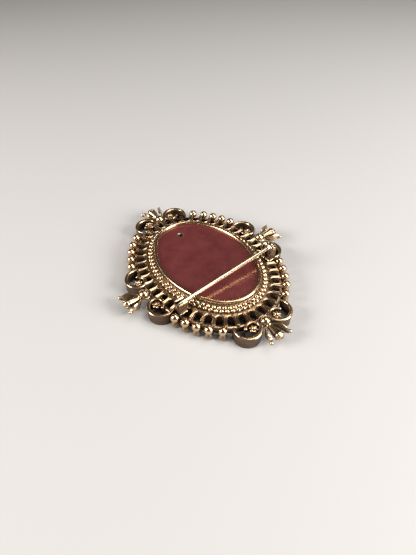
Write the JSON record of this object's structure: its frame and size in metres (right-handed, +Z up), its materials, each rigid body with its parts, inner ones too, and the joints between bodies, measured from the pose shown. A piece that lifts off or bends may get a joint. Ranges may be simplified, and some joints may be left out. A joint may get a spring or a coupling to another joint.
{
  "type": "cameo brooch",
  "caption": "Oval cameo brooch lying face down: openwork cast frame of beads and scrolls round a bezel with a back plate, with a hinged pin and an open catch.",
  "frame": {"origin": "on the floor that the brooch lies on, under the middle of the oval", "axes": "+Z up, out of the back of the brooch; +Y along the oval's long way; +X towards the hinge"},
  "size_m": [0.0464, 0.0558, 0.0082],
  "materials": {
    "gold": "polished cast gold tone, dark in its recesses",
    "pale_gold": "drawn wire, polished, pale gold tone",
    "burgundy_plate": "burgundy lacquer over polished metal, softly mottled",
    "carnelian": "polished red-brown stone",
    "ivory": "satin carved layer, cream"
  },
  "bodies": {
    "brooch": {"filigree_frame": "gold", "bezel_ring": "gold", "granulated_band": "gold", "back_plate": "burgundy_plate", "cameo_stone": "carnelian", "cameo_relief": "ivory", "hinge_bracket": "gold", "hinge_rivet": "gold", "catch_hook": "gold"},
    "pin": {"pin_stem": "pale_gold"}
  },
  "joints": [
    {"name": "pin_swing", "type": "hinge", "parent": "brooch", "child": "pin", "pos_m": [0.01398, -0.00792, 0.00725], "axis": [-0.0544, 0.9985, 0], "range_deg": [0, 85]}
  ]
}
